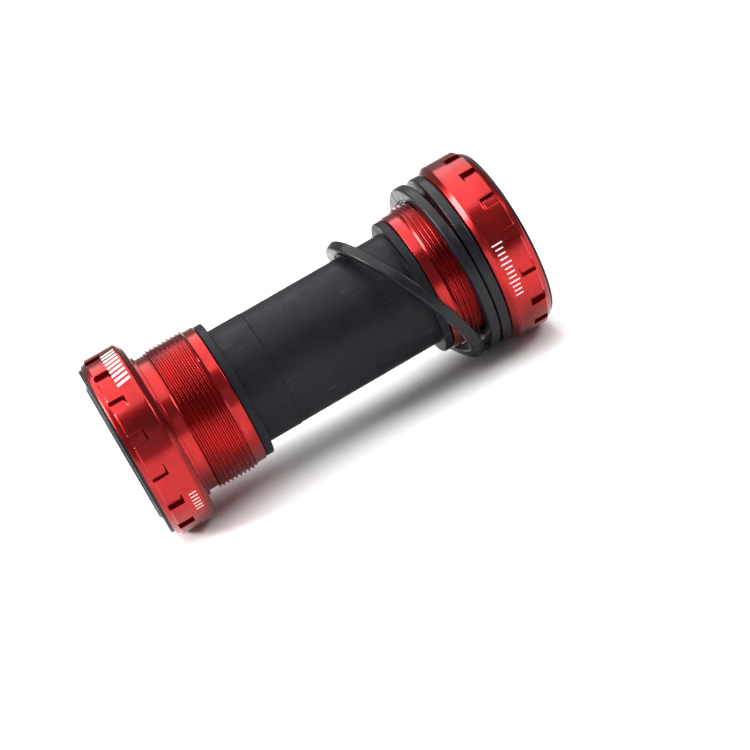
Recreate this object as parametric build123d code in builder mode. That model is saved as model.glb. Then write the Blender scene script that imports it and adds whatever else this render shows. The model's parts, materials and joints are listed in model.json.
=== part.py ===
from build123d import *
import os

# External-cup bottom bracket for a bicycle frame: two threaded cups with a ball bearing each,
# a plastic sleeve between them and three thin shell spacers.
# The spindle axis is Y. +Y is the non-drive side, +Z is up and +X points to the front wheel.
# Axial places are distances from the middle of the part, counted outwards on either side.

DRIVE = -1  # side signs: the direction of "outwards" along Y
NON_DRIVE = 1
SIDE_NAMES = {DRIVE: "drive", NON_DRIVE: "non_drive"}

# Cup flange, which the wrench turns
FLANGE_R = 22.0
FLANGE_FACE = 38.3  # inboard face, which seats on the frame's shell or on a spacer
FLANGE_WIDTH = 10.1
FLANGE_CHAMFER = 1.4
RIM_LIP_R = 21.3  # stepped-down ring at the outboard end
RIM_LIP_WIDTH = 1.2
RIM_CHAMFER = 0.25
NOTCH_COUNT = 16
NOTCH_WIDTH = 2.6
NOTCH_FLOOR_R = 21.0
NOTCH_LENGTH = 3.7
NOTCH_CORNER_R = 0.5
NOTCH_TURN = {DRIVE: 5.0, NON_DRIVE: 0.0}  # degrees from the top of the cup

# Threaded barrel: 1.37 inch by 24 threads per inch
THREAD_R = 17.4
THREAD_PITCH = 25.4 / 24
THREAD_DEPTH = 0.42
THREAD_CREST = 0.6
THREAD_ROOT = 0.06
REGISTER_WIDTH = 0.9  # plain shoulder beside the flange
NECK_R = 16.6
NECK_END = 35.1
LIP_R = 16.7  # plain lead-in at the inboard end
LIP_WIDTH = 2.5
LIP_CHAMFER = 0.3
BARREL_END = {DRIVE: 25.9, NON_DRIVE: 22.7}
BARREL_BORE_R = 15.0

# Ball bearing, 25 x 37 x 7
BEARING_BORE_R = 12.5
BEARING_R = 18.5
BEARING_WIDTH = 7.0
BEARING_FACE = 46.9  # outboard face
INNER_RACE_R = 14.15
OUTER_RACE_R = 16.85
BALL_R = 3.175 / 2
BALL_PITCH_R = 15.5
BALL_COUNT = 18
BALL_PLAY = 0.06
CAGE_R = (15.0, 16.0)
CAGE_WIDTH = 4.4
SEAL_R = 14.3
SEAL_WIDTH = 0.7
SEAL_INSET = 0.15
SHOULDER_RELIEF = 0.5  # keeps the cup's shoulder off the seal and the inner race

# Dust cap: a disc outside the bearing, with a thin tube that lines the bearing's bore
SPINDLE_BORE_R = 12.02
CAP_TUBE_R = 12.48
CAP_TUBE_END = 40.3
CAP_HUB_R = 13.9
CAP_DISC_R = 20.5
CAP_DISC = (47.75, 49.2)
CAP_BOSS_R = 16.2
CAP_BOSS_FACE = 49.7
CAP_EDGE_R = 0.4
CAP_RECESS_R = 20.75
CAP_RECESS_FLOOR = 47.1
WIPER_R = (18.9, 19.8)
WIPER_GAP = 0.05

# Plastic sleeve with a collar and a plug at each end
SLEEVE_R = 13.93
SLEEVE_BORE_R = 12.75
SLEEVE_END_R = 14.05
SEAM = 12.2  # where the end piece is pushed on to the main tube, on the non-drive side
SEAM_GROOVE = 0.35
LAP_LENGTH = 5.0
LAP_R = 13.35
COLLAR_R = 16.4
COLLAR_WIDTH = 2.0
COLLAR_GAP = 0.1  # between the collar and the cup's lip
COLLAR_EDGE_R = 0.35
PLUG_R = 14.7
PLUG_LENGTH = 9.0
PLUG_CHAMFER = 0.5
O_RING_SECTION_R = 0.7
O_RING_GROOVE_WIDTH = 1.9
O_RING_GROOVE_R = 13.52
O_RING_R = 14.25  # centre line of the ring
O_RING_PLACE = 4.0  # from the collar to the ring's centre

# Shell spacers
SPACER_R = (18.3, 21.0)
SPACER_WIDTH = 2.5
SPACER_EDGE_R = 0.55
SPACER_GAP = 0.05
INNER_PLACE = -33.3  # along Y, where the second spacer leans on the thread
INNER_LEAN = 3.0  # degrees
INNER_TURN = 98.8  # degrees from the top, towards -X, to where it touches the first spacer
LOOSE_PLACE = -21.8  # along Y, where the third spacer hangs on the sleeve
LOOSE_DROP = 1.78  # from the spindle axis to its centre
LOOSE_LEAN = 25.0  # degrees that its top leans towards the non-drive side
LOOSE_TURN = 21.2  # degrees about Y from straight down to the way it hangs

FLANGE_END = FLANGE_FACE + FLANGE_WIDTH


def profile_plane(side):
    """Plane through the axis: x runs outwards along the spindle, y is the radius."""
    return Plane(origin=(0, 0, 0), x_dir=(0, side, 0), z_dir=(side, 0, 0))


def ring(side, start, end, inner_r, outer_r):
    """Plain ring between two axial places."""
    with BuildPart() as piece:
        with BuildSketch(profile_plane(side)):
            with Locations(((start + end) / 2, (inner_r + outer_r) / 2)):
                Rectangle(end - start, outer_r - inner_r)
        revolve(axis=Axis.Y)
    return piece


def save(piece, name):
    piece.part.label = name
    export_step(piece.part, f"parts/{name}.step")


def thread_outline(start, end):
    """Crests and roots of the thread, as rings one pitch apart, from start outwards to end."""
    flank = (THREAD_PITCH - THREAD_CREST - THREAD_ROOT) / 2
    root_r = THREAD_R - THREAD_DEPTH
    points = []
    place = start
    while place + THREAD_PITCH <= end:
        crest = place + flank
        points += [
            (place, root_r),
            (crest, THREAD_R),
            (crest + THREAD_CREST, THREAD_R),
            (crest + THREAD_CREST + flank, root_r),
        ]
        place += THREAD_PITCH
    return points + [(end, root_r)]


def threaded_cup(side):
    barrel_end = BARREL_END[side]
    lip_start = barrel_end + LIP_WIDTH
    shoulder = BEARING_FACE - BEARING_WIDTH
    lands_end = FLANGE_END - RIM_LIP_WIDTH
    with BuildPart() as cup:
        with BuildSketch(profile_plane(side)):
            with BuildLine():
                Polyline(
                    (barrel_end, BARREL_BORE_R),
                    (barrel_end, LIP_R - LIP_CHAMFER),
                    (barrel_end + LIP_CHAMFER, LIP_R),
                    (lip_start, LIP_R),
                    *thread_outline(lip_start, NECK_END),
                    (NECK_END, NECK_R),
                    (FLANGE_FACE - REGISTER_WIDTH, NECK_R),
                    (FLANGE_FACE - REGISTER_WIDTH, THREAD_R),
                    (FLANGE_FACE, THREAD_R),
                    (FLANGE_FACE, FLANGE_R - FLANGE_CHAMFER),
                    (FLANGE_FACE + FLANGE_CHAMFER, FLANGE_R),
                    (lands_end - RIM_CHAMFER, FLANGE_R),
                    (lands_end, FLANGE_R - RIM_CHAMFER),
                    (lands_end, RIM_LIP_R),
                    (FLANGE_END - RIM_CHAMFER, RIM_LIP_R),
                    (FLANGE_END, RIM_LIP_R - RIM_CHAMFER),
                    (FLANGE_END, CAP_RECESS_R),
                    (CAP_RECESS_FLOOR, CAP_RECESS_R),
                    (CAP_RECESS_FLOOR, BEARING_R),
                    (shoulder, BEARING_R),
                    (shoulder, OUTER_RACE_R),
                    (shoulder - SHOULDER_RELIEF, OUTER_RACE_R),
                    (shoulder - SHOULDER_RELIEF, BARREL_BORE_R),
                    close=True,
                )
            make_face()
        revolve(axis=Axis.Y)
        # wrench notches, open to the rim lip
        notch_depth = FLANGE_R - NOTCH_FLOOR_R
        notch_plane = Plane(origin=(0, side * lands_end, 0), x_dir=(side, 0, 0), z_dir=(0, -side, 0))
        first_notch = 90 - NOTCH_TURN[side] * side
        with BuildSketch(notch_plane):
            with PolarLocations(FLANGE_R, NOTCH_COUNT, start_angle=first_notch):
                RectangleRounded(2 * notch_depth, NOTCH_WIDTH, NOTCH_CORNER_R)
        extrude(amount=NOTCH_LENGTH, mode=Mode.SUBTRACT)
    return cup


def outer_race(side):
    middle = BEARING_FACE - BEARING_WIDTH / 2
    with BuildPart() as race:
        with BuildSketch(profile_plane(side)):
            with Locations((middle, (OUTER_RACE_R + BEARING_R) / 2)):
                Rectangle(BEARING_WIDTH, BEARING_R - OUTER_RACE_R)
            with Locations((middle, BALL_PITCH_R)):
                Circle(BALL_R + BALL_PLAY, mode=Mode.SUBTRACT)
        revolve(axis=Axis.Y)
    return race


def inner_race(side):
    middle = BEARING_FACE - BEARING_WIDTH / 2
    with BuildPart() as race:
        with BuildSketch(profile_plane(side)):
            with Locations((middle, (BEARING_BORE_R + INNER_RACE_R) / 2)):
                Rectangle(BEARING_WIDTH, INNER_RACE_R - BEARING_BORE_R)
            with Locations((middle, BALL_PITCH_R)):
                Circle(BALL_R + BALL_PLAY, mode=Mode.SUBTRACT)
        revolve(axis=Axis.Y)
    return race


def ball_ring_plane(side):
    """Plane across the spindle through the middle of the ball row."""
    middle = BEARING_FACE - BEARING_WIDTH / 2
    return Plane(origin=(0, side * middle, 0), x_dir=(1, 0, 0), z_dir=(0, -1, 0))


def balls(side):
    with BuildPart(ball_ring_plane(side)) as row:
        with PolarLocations(BALL_PITCH_R, BALL_COUNT):
            Sphere(BALL_R)
    return row


def cage(side):
    inner_r, outer_r = CAGE_R
    with BuildPart(ball_ring_plane(side)) as ball_cage:
        Cylinder(outer_r, CAGE_WIDTH)
        Cylinder(inner_r, CAGE_WIDTH, mode=Mode.SUBTRACT)
        with PolarLocations(BALL_PITCH_R, BALL_COUNT):
            Cylinder(BALL_R + BALL_PLAY, 2 * (outer_r - inner_r), rotation=(0, 90, 0), mode=Mode.SUBTRACT)
    return ball_cage


def dust_cap(side):
    disc_start, disc_end = CAP_DISC
    with BuildPart() as cap:
        with BuildSketch(profile_plane(side)):
            with BuildLine():
                Polyline(
                    (CAP_TUBE_END, SPINDLE_BORE_R),
                    (CAP_TUBE_END, CAP_TUBE_R),
                    (BEARING_FACE, CAP_TUBE_R),
                    (BEARING_FACE, CAP_HUB_R),
                    (disc_start, CAP_HUB_R),
                    (disc_start, CAP_DISC_R),
                    (disc_end, CAP_DISC_R),
                    (disc_end, CAP_BOSS_R + CAP_BOSS_FACE - disc_end),
                    (CAP_BOSS_FACE, CAP_BOSS_R),
                    (CAP_BOSS_FACE, SPINDLE_BORE_R),
                    close=True,
                )
            make_face()
        revolve(axis=Axis.Y)
        outboard_edges = cap.edges().filter_by(GeomType.CIRCLE).group_by(SortBy.RADIUS)[-1]
        fillet(outboard_edges.sort_by(Axis.Y)[-1 if side > 0 else 0], CAP_EDGE_R)
    return cap


def collar_and_plug(side):
    """Solid outline of one sleeve end: collar, plug and the groove for its O-ring."""
    collar_face = BARREL_END[side] - COLLAR_GAP
    collar_start = collar_face - COLLAR_WIDTH
    plug_end = collar_face + PLUG_LENGTH
    groove = collar_face + O_RING_PLACE
    with BuildSketch(profile_plane(side), mode=Mode.PRIVATE) as outline:
        with Locations(((collar_start + collar_face) / 2, (SLEEVE_BORE_R + COLLAR_R) / 2)):
            Rectangle(COLLAR_WIDTH, COLLAR_R - SLEEVE_BORE_R)
        fillet(outline.vertices().group_by(Axis.Z)[-1], COLLAR_EDGE_R)
        with Locations(((collar_face + plug_end) / 2, (SLEEVE_BORE_R + PLUG_R) / 2)):
            Rectangle(PLUG_LENGTH, PLUG_R - SLEEVE_BORE_R)
        plug_mouth = outline.vertices().group_by(Axis.Y)[-1 if side > 0 else 0]
        chamfer(plug_mouth.sort_by(Axis.Z)[-1], PLUG_CHAMFER)
        with Locations((groove, PLUG_R)):
            Rectangle(O_RING_GROOVE_WIDTH, 2 * (PLUG_R - O_RING_GROOVE_R), mode=Mode.SUBTRACT)
    return outline.sketch


def main_sleeve():
    """Tube from the drive-side plug to the seam, with a thin tongue that the end piece covers."""
    drive_collar = BARREL_END[DRIVE] - COLLAR_GAP - COLLAR_WIDTH
    with BuildPart() as sleeve:
        with BuildSketch(profile_plane(NON_DRIVE)):
            with BuildLine():
                Polyline(
                    (-drive_collar - COLLAR_WIDTH / 2, SLEEVE_BORE_R),
                    (-drive_collar - COLLAR_WIDTH / 2, SLEEVE_R),
                    (SEAM - SEAM_GROOVE, SLEEVE_R),
                    (SEAM, LAP_R),
                    (SEAM + LAP_LENGTH, LAP_R),
                    (SEAM + LAP_LENGTH, SLEEVE_BORE_R),
                    close=True,
                )
            make_face()
        add(collar_and_plug(DRIVE))
        revolve(axis=Axis.Y)
    return sleeve


def sleeve_end():
    """Short tube pushed on to the main sleeve, with the non-drive collar and plug."""
    collar = BARREL_END[NON_DRIVE] - COLLAR_GAP - COLLAR_WIDTH
    with BuildPart() as end:
        with BuildSketch(profile_plane(NON_DRIVE)):
            with BuildLine():
                Polyline(
                    (SEAM, LAP_R),
                    (SEAM, SLEEVE_END_R - SEAM_GROOVE / 2),
                    (SEAM + SEAM_GROOVE / 2, SLEEVE_END_R),
                    (collar + COLLAR_WIDTH / 2, SLEEVE_END_R),
                    (collar + COLLAR_WIDTH / 2, SLEEVE_BORE_R),
                    (SEAM + LAP_LENGTH, SLEEVE_BORE_R),
                    (SEAM + LAP_LENGTH, LAP_R),
                    close=True,
                )
            make_face()
        add(collar_and_plug(NON_DRIVE))
        revolve(axis=Axis.Y)
    return end


def sleeve_o_ring(side):
    place = BARREL_END[side] - COLLAR_GAP + O_RING_PLACE
    with BuildPart() as seal:
        with BuildSketch(profile_plane(side)):
            with Locations((place, O_RING_R)):
                Circle(O_RING_SECTION_R)
        revolve(axis=Axis.Y)
    return seal


def spacer(plane):
    """Thin ring with rounded edges, centred on a plane across its axis."""
    inner_r, outer_r = SPACER_R
    with BuildPart(plane) as washer:
        Cylinder(outer_r, SPACER_WIDTH)
        Cylinder(inner_r, SPACER_WIDTH, mode=Mode.SUBTRACT)
        fillet(washer.edges().filter_by(GeomType.CIRCLE), SPACER_EDGE_R)
    return washer


os.makedirs("parts", exist_ok=True)

for side, side_name in SIDE_NAMES.items():
    inboard_face = BEARING_FACE - BEARING_WIDTH
    seal_places = {
        "outboard_seal": (BEARING_FACE - SEAL_INSET - SEAL_WIDTH, BEARING_FACE - SEAL_INSET),
        "inboard_seal": (inboard_face + SEAL_INSET, inboard_face + SEAL_INSET + SEAL_WIDTH),
    }
    save(threaded_cup(side), f"{side_name}_cup")
    save(outer_race(side), f"{side_name}_outer_race")
    save(inner_race(side), f"{side_name}_inner_race")
    save(balls(side), f"{side_name}_bearing_balls")
    save(cage(side), f"{side_name}_ball_cage")
    for seal_name, (start, end) in seal_places.items():
        save(ring(side, start, end, SEAL_R, OUTER_RACE_R), f"{side_name}_{seal_name}")
    save(dust_cap(side), f"{side_name}_dust_cap")
    wiper_start = CAP_RECESS_FLOOR + WIPER_GAP
    save(ring(side, wiper_start, CAP_DISC[0], *WIPER_R), f"{side_name}_cap_wiper")
    save(sleeve_o_ring(side), f"{side_name}_sleeve_o_ring")

save(main_sleeve(), "main_sleeve")
save(sleeve_end(), "sleeve_end")

outer_place = -(FLANGE_FACE - SPACER_GAP - SPACER_WIDTH / 2)
inner_axis = Vector(0, 1, 0).rotate(Axis.X, INNER_LEAN).rotate(Axis.Y, -INNER_TURN)
save(spacer(Plane(origin=(0, outer_place, 0), z_dir=(0, 1, 0))), "outer_spacer")
save(spacer(Plane(origin=(0, INNER_PLACE, 0), z_dir=inner_axis)), "inner_spacer")

loose_axis = Vector(0, 1, 0).rotate(Axis.X, -LOOSE_LEAN).rotate(Axis.Y, LOOSE_TURN)
loose_centre = Vector(0, LOOSE_PLACE, -LOOSE_DROP).rotate(Axis.Y, LOOSE_TURN)
save(spacer(Plane(origin=loose_centre, z_dir=loose_axis)), "loose_spacer")
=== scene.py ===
"""Visual model of an external-cup bottom bracket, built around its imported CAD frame."""

import json
import logging
import math
from dataclasses import dataclass
from enum import Enum

import bmesh
import bpy
from mathutils import Matrix, Vector


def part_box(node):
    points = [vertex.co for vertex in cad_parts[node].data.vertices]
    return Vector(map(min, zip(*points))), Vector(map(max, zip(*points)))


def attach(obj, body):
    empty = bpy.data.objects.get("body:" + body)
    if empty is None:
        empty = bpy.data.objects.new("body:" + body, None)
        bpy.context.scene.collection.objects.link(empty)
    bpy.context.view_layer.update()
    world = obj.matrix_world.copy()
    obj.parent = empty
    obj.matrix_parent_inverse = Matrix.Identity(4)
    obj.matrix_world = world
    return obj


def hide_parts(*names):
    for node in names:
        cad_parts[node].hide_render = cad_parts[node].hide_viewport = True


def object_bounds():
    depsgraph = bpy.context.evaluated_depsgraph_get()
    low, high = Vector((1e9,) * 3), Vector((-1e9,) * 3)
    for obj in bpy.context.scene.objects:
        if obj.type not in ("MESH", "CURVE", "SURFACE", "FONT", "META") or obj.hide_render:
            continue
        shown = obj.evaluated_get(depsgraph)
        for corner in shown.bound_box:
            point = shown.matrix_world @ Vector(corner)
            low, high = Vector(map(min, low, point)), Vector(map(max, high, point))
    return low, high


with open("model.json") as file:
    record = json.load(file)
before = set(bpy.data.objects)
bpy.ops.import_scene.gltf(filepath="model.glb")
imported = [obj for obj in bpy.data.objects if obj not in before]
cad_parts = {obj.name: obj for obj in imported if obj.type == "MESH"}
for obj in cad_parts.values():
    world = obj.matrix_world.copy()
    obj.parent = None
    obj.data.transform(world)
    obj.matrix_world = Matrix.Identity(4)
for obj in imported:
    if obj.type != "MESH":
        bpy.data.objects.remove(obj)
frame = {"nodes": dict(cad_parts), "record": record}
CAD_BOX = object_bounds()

log = logging.getLogger("bottom_bracket")

MM = 0.001  # metres in a millimetre; meshes are built in millimetres and scaled at the end
FACETS = 192  # around the spindle axis, twelve to each wrench notch
FULL_TURN = 2 * math.pi
SPINDLE = Vector((0, 1, 0))

Corner = tuple[float, ...]  # (place along the spindle, radius) or (place, radius, rounding), mm


class Side(Enum):
    """The two ends of the part, and which way along Y is outwards on each."""

    DRIVE = -1
    NON_DRIVE = 1

    @property
    def label(self) -> str:
        """Name that the side's pieces start with."""
        return self.name.lower()


class Lay(Enum):
    """How tool or mould marks lie on a surface."""

    TURNED = "rings about the spindle axis"
    EVEN = "no direction"


# ---------------------------------------------------------------- materials


def linear(hex_colour: str, alpha: float = 1.0) -> tuple[float, float, float, float]:
    """Turn an sRGB hex colour to the linear values that shaders take.

    Args:
        hex_colour: colour as "#rrggbb".
        alpha: opacity to add.

    Returns:
        Linear red, green, blue and alpha.
    """
    channels = [int(hex_colour[i : i + 2], 16) / 255 for i in (1, 3, 5)]
    values = [c / 12.92 if c <= 0.04045 else ((c + 0.055) / 1.055) ** 2.4 for c in channels]
    return (*values, alpha)


class Shader:
    """A material's node tree, with one way to add a node."""

    def __init__(self, name: str) -> None:
        """Start a material with a Principled shader and its output."""
        self.material = bpy.data.materials.new(name)
        self.material.use_nodes = True
        self.tree = self.material.node_tree
        self.surface = self.tree.nodes["Principled BSDF"]

    def add(self, kind: str, settings: dict | None = None, **links: object) -> bpy.types.Node:
        """Add one node.

        Args:
            kind: the node's type, without its ShaderNode prefix.
            settings: node properties to set.
            **links: input name (spaces as underscores) to a socket to link or a value to set.

        Returns:
            The new node.
        """
        node = self.tree.nodes.new(f"ShaderNode{kind}")
        for key, value in (settings or {}).items():
            setattr(node, key, value)
        for key, value in links.items():
            socket = node.inputs[int(key[1:])] if key[1:].isdigit() else node.inputs[key.replace("_", " ")]
            if isinstance(value, bpy.types.NodeSocket):
                self.tree.links.new(value, socket)
            else:
                socket.default_value = value
        return node

    def place(self, lay: Lay) -> bpy.types.NodeSocket:
        """Object coordinates, or for turned work (radius, place along the spindle).

        Args:
            lay: how the marks lie.

        Returns:
            A vector socket, in metres.
        """
        point = self.add("TexCoord").outputs["Object"]
        if lay is Lay.EVEN:
            return point
        across = self.add("VectorMath", {"operation": "MULTIPLY"}, _0=point, _1=(1.0, 0.0, 1.0))
        radius = self.add("VectorMath", {"operation": "LENGTH"}, _0=across.outputs["Vector"])
        along = self.add("SeparateXYZ", Vector=point)
        both = self.add("CombineXYZ", X=radius.outputs["Value"], Y=along.outputs["Y"])
        return both.outputs["Vector"]

    def noise(self, at: bpy.types.NodeSocket, grain_mm: float, detail: float = 3.0) -> bpy.types.NodeSocket:
        """Noise with grains of a real size.

        Args:
            at: the coordinates to use.
            grain_mm: size of one grain.
            detail: how many finer layers it holds.

        Returns:
            The noise's factor.
        """
        texture = self.add("TexNoise", Vector=at, Scale=1 / (grain_mm * MM), Detail=detail)
        return texture.outputs["Fac"]

    def span(self, value: bpy.types.NodeSocket, low: float, high: float,
             start: float = 0.35, end: float = 0.65) -> bpy.types.NodeSocket:
        """Spread a factor between two values.

        Args:
            value: factor to spread.
            low: result at start.
            high: result at end.
            start: factor that gives low.
            end: factor that gives high.

        Returns:
            The spread value.
        """
        node = self.add("MapRange", Value=value, From_Min=start, From_Max=end, To_Min=low, To_Max=high)
        return node.outputs["Result"]

    def blend(self, factor: bpy.types.NodeSocket, first: str, second: str) -> bpy.types.NodeSocket:
        """Mix two colours.

        Args:
            factor: 0 gives the first colour, 1 the second.
            first: sRGB hex.
            second: sRGB hex.

        Returns:
            The mixed colour.
        """
        node = self.add("Mix", {"data_type": "RGBA"}, _0=factor, _6=linear(first), _7=linear(second))
        return node.outputs[2]

    def wire(self, socket: str, value: object) -> None:
        """Set or link one of the surface shader's sockets."""
        if isinstance(value, bpy.types.NodeSocket):
            self.tree.links.new(value, self.surface.inputs[socket])
        else:
            self.surface.inputs[socket].default_value = value

    def relief(self, *layers: tuple[bpy.types.NodeSocket, float, float]) -> None:
        """Stack bump layers under the surface.

        Args:
            *layers: (height, depth in mm, strength), coarse first.
        """
        normal = None
        for height, depth_mm, strength in layers:
            links = {"Height": height, "Distance": depth_mm * MM, "Strength": strength}
            if normal is not None:
                links["Normal"] = normal
            normal = self.add("Bump", None, **links).outputs["Normal"]
        self.wire("Normal", normal)


@dataclass(frozen=True)
class AnodisedAluminium:
    """Turned and dyed aluminium: a metal whose colour is in its reflections, with fine tool rings."""

    name: str = "red_anodised_turned_aluminium"
    deep: str = "#860d0f"
    bright: str = "#a61718"
    ring_mm: float = 0.22  # real feed marks are finer; drawn this coarse so that they show
    dye_mm: float = 9.0

    def make(self) -> bpy.types.Material:
        """Build the material.

        Returns:
            The finished material.
        """
        s = Shader(self.name)
        rings_at = s.place(Lay.TURNED)
        even = s.place(Lay.EVEN)
        rings = s.noise(rings_at, self.ring_mm, 2.0)
        dye = s.noise(even, self.dye_mm)
        grain = s.noise(even, 0.12, 2.0)
        s.wire("Base Color", s.blend(s.span(dye, 0.0, 1.0), self.deep, self.bright))
        s.wire("Metallic", 1.0)
        s.wire("Roughness", s.span(rings, 0.19, 0.30))
        # the clear oxide over the dye gives the pale shine at the edges
        s.wire("Coat Weight", 0.28)
        s.wire("Coat Roughness", 0.16)
        s.wire("Coat IOR", 1.6)
        s.relief((rings, 0.006, 0.22), (grain, 0.004, 0.2))
        return s.material


@dataclass(frozen=True)
class MouldedPlastic:
    """Injection-moulded plastic: a satin skin with a faint mottle and pale handling scuffs."""

    name: str
    dark: str
    light: str
    roughness: float = 0.42
    grain_mm: float = 0.35
    grain_depth_mm: float = 0.012
    specular: float = 0.3  # a fine-grained skin scatters part of its shine
    scuff: str = ""  # colour of the rubbed streaks, or none
    scuff_mm: tuple[float, float, float] = (0.5, 7.0, 0.5)  # a streak's size along X, Y and Z

    def make(self) -> bpy.types.Material:
        """Build the material.

        Returns:
            The finished material.
        """
        s = Shader(self.name)
        at = s.place(Lay.EVEN)
        flow = s.noise(at, 14.0)
        grain = s.noise(at, self.grain_mm, 4.0)
        colour = s.blend(s.span(flow, 0.0, 1.0), self.dark, self.light)
        if self.scuff:
            colour = self.rubbed(s, at, colour)
        s.wire("Base Color", colour)
        gloss = s.noise(at, 2.5, 4.0)
        s.wire("Roughness", s.span(gloss, self.roughness - 0.06, self.roughness + 0.09))
        s.wire("IOR", 1.5)
        s.wire("Specular IOR Level", self.specular)
        s.relief((flow, 0.10, 0.12), (grain, self.grain_depth_mm, 0.5))
        return s.material

    def rubbed(self, s: Shader, at: bpy.types.NodeSocket, colour: bpy.types.NodeSocket) -> bpy.types.NodeSocket:
        """Lay a few pale rubbed streaks over a colour.

        Args:
            s: the shader to add to.
            at: Object coordinates.
            colour: the colour underneath.

        Returns:
            The colour with its streaks.
        """
        stretch = tuple(1 / (size * MM) for size in self.scuff_mm)
        drawn = s.add("VectorMath", {"operation": "MULTIPLY"}, _0=at, _1=stretch)
        streaks = s.add("TexNoise", Vector=drawn.outputs["Vector"], Scale=1.0, Detail=4.0).outputs["Fac"]
        patches = s.noise(at, 11.0)
        both = s.add("Math", {"operation": "MULTIPLY"}, _0=s.span(streaks, 0.0, 1.0, 0.62, 0.74),
                     _1=s.span(patches, 0.0, 0.55, 0.5, 0.62))
        mixed = s.add("Mix", {"data_type": "RGBA"}, _0=both.outputs["Value"], _6=colour, _7=linear(self.scuff))
        return mixed.outputs[2]


@dataclass(frozen=True)
class Rubber:
    """Moulded nitrile rubber: nearly black and dull, with a soft sheen at grazing angles."""

    name: str = "black_nitrile_rubber"

    def make(self) -> bpy.types.Material:
        """Build the material.

        Returns:
            The finished material.
        """
        s = Shader(self.name)
        at = s.place(Lay.EVEN)
        bloom = s.noise(at, 4.0)
        grain = s.noise(at, 0.2, 3.0)
        s.wire("Base Color", s.blend(s.span(bloom, 0.0, 1.0), "#101011", "#1b1b1c"))
        s.wire("Roughness", s.span(grain, 0.5, 0.66))
        s.wire("IOR", 1.52)
        s.relief((grain, 0.015, 0.4))
        return s.material


@dataclass(frozen=True)
class GroundSteel:
    """Hardened bearing steel: bright, with fine grinding rings or polished smooth."""

    name: str
    colour: str = "#c3c5c8"
    shade: str = "#a4a6aa"
    low: float = 0.12
    high: float = 0.28
    ring_depth_mm: float = 0.006

    def make(self) -> bpy.types.Material:
        """Build the material.

        Returns:
            The finished material.
        """
        s = Shader(self.name)
        rings = s.noise(s.place(Lay.TURNED), 0.18, 2.0)
        smear = s.noise(s.place(Lay.EVEN), 3.0)
        s.wire("Base Color", s.blend(s.span(smear, 0.0, 1.0), self.shade, self.colour))
        s.wire("Metallic", 1.0)
        s.wire("Roughness", s.span(rings, self.low, self.high))
        s.relief((rings, self.ring_depth_mm, 0.3))
        return s.material


@dataclass(frozen=True)
class LaserMark:
    """Laser-bleached anodising: a dull silvery white where the dye is burnt off."""

    name: str = "laser_bleached_mark"

    def make(self) -> bpy.types.Material:
        """Build the material.

        Returns:
            The finished material.
        """
        s = Shader(self.name)
        speckle = s.noise(s.place(Lay.EVEN), 0.15, 3.0)
        s.wire("Base Color", s.blend(s.span(speckle, 0.0, 1.0), "#c9c1c0", "#e9e3e2"))
        s.wire("Roughness", s.span(speckle, 0.5, 0.7))
        s.relief((speckle, 0.01, 0.4))
        return s.material


class Palette:
    """The object's finishes, each made once."""

    def __init__(self) -> None:
        """Make every material."""
        self.cup = AnodisedAluminium().make()
        self.mark = LaserMark().make()
        self.race = GroundSteel("ground_bearing_steel").make()
        self.ball = GroundSteel("polished_bearing_ball", "#dcdee0", "#c8cacd", 0.05, 0.12, 0.0).make()
        self.cage = MouldedPlastic("brown_black_nylon_cage", "#1c1815", "#292420", 0.5).make()
        self.seal = Rubber().make()
        self.cap = MouldedPlastic("satin_black_acetal_cap", "#121217", "#19191f", 0.42, 0.25,
                                  specular=0.22).make()
        self.sleeve = MouldedPlastic("moulded_black_nylon_sleeve", "#121117", "#1a191f", 0.44, 0.5, 0.02, 0.13,
                                     scuff="#47474c").make()
        self.spacer = MouldedPlastic("smooth_black_acetal_spacer", "#0f0f14", "#16161b", 0.29, 0.3, 0.004,
                                     specular=0.22).make()


# ---------------------------------------------------------------- mesh building


class Lathe:
    """Turns outlines about the spindle axis, in millimetres."""

    def __init__(self, side: Side = Side.NON_DRIVE, facets: int = FACETS) -> None:
        """Keep which way is outwards, and how many facets a full turn has."""
        self.out = side.value
        self.facets = facets

    def outline(self, mesh: bmesh.types.BMesh, corners: list[Corner], closed: bool) -> list:
        """Draw an outline in the plane through the axis, with its corners rounded.

        Args:
            mesh: mesh to draw in.
            corners: the outline's corners.
            closed: join the last corner to the first.

        Returns:
            The outline's vertices and edges.
        """
        verts = [mesh.verts.new((0, self.out * c[0], c[1])) for c in corners]
        pairs = list(zip(verts, verts[1:])) + ([(verts[-1], verts[0])] if closed else [])
        for first, second in pairs:
            mesh.edges.new((first, second))
        for size in sorted({c[2] for c in corners if len(c) > 2 and c[2]}):
            chosen = [v for v, c in zip(verts, corners) if len(c) > 2 and c[2] == size]
            bmesh.ops.bevel(mesh, geom=chosen, offset=size, offset_type="OFFSET", segments=3,
                            profile=0.5, affect="VERTICES", material=-1)
        return mesh.verts[:] + mesh.edges[:]

    def turn(self, corners: list[Corner], closed: bool = True) -> bmesh.types.BMesh:
        """Turn an outline into a ring.

        Args:
            corners: the outline's corners.
            closed: whether the outline is a closed one, which gives a closed solid.

        Returns:
            The new mesh.
        """
        mesh = bmesh.new()
        drawn = self.outline(mesh, corners, closed)
        bmesh.ops.spin(mesh, geom=drawn, cent=(0, 0, 0), axis=SPINDLE, angle=FULL_TURN,
                       steps=self.facets, use_merge=True, dvec=(0, 0, 0))
        return mesh


def join(target: bmesh.types.BMesh, *others: bmesh.types.BMesh) -> bmesh.types.BMesh:
    """Put meshes together in one.

    Args:
        target: mesh to add to.
        *others: meshes to add, which are freed.

    Returns:
        The target.
    """
    for other in others:
        carrier = bpy.data.meshes.new("carrier")
        other.to_mesh(carrier)
        target.from_mesh(carrier)
        bpy.data.meshes.remove(carrier)
        other.free()
    return target


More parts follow.
